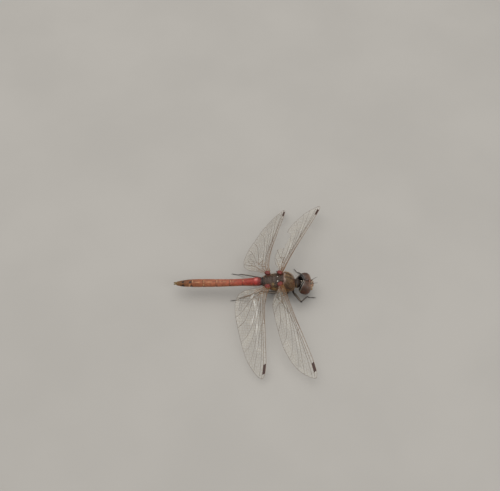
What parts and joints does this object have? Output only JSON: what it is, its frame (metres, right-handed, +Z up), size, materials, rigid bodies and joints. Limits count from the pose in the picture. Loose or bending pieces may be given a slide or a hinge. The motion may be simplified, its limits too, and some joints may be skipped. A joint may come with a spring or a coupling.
{
  "type": "dragonfly",
  "caption": "Life-size dragonfly at rest on its feet, slim red abdomen, hairy brown thorax, large eyes, clear netted wings held out and slightly forward and down.",
  "frame": {"origin": "middle of the box that the insect fills, seen from above, on the plane its feet rest on", "axes": "+X towards the head, +Y towards the insect's left wings, +Z up"},
  "size_m": [0.043, 0.0574, 0.008],
  "materials": {
    "abdomen": "satin orange-red cuticle with fine pale speckles",
    "thorax": "olive-brown hairy cuticle with red wing bases",
    "neck": "dark grey-brown cuticle",
    "head_capsule": "dark brown cuticle",
    "face": "shiny yellow-brown cuticle",
    "eyes": "glossy dark red-brown above, paler below, finely faceted",
    "antennae": "black bristle",
    "wings": "clear membrane with brown veins and red-brown wing marks",
    "legs": "blackish with a pale stripe and fine spines",
    "cerci": "tan"
  },
  "bodies": {
    "root": {"thorax": "thorax", "prothorax": "neck", "neck": "neck", "abdomen_01": "abdomen", "abdomen_02": "abdomen", "abdomen_03": "abdomen", "abdomen_04": "abdomen", "abdomen_05": "abdomen", "abdomen_06": "abdomen", "abdomen_07": "abdomen", "abdomen_08": "abdomen", "abdomen_09": "abdomen", "abdomen_10": "abdomen", "cercus_left": "cerci", "cercus_right": "cerci", "femur_fore_right": "legs", "tibia_fore_right": "legs", "tarsus_fore_right": "legs", "femur_fore_left": "legs", "tibia_fore_left": "legs", "tarsus_fore_left": "legs", "femur_mid_right": "legs", "tibia_mid_right": "legs", "tarsus_mid_right": "legs", "femur_mid_left": "legs", "tibia_mid_left": "legs", "tarsus_mid_left": "legs", "femur_hind_right": "legs", "tibia_hind_right": "legs", "tarsus_hind_right": "legs", "femur_hind_left": "legs", "tibia_hind_left": "legs", "tarsus_hind_left": "legs", "eye_left": "eyes", "eye_right": "eyes", "head_capsule": "head_capsule", "face": "face", "mouthparts": "face", "antenna_left": "antennae", "antenna_right": "antennae", "forewing_left": "wings", "forewing_right": "wings", "hindwing_left": "wings", "hindwing_right": "wings"}
  },
  "joints": []
}
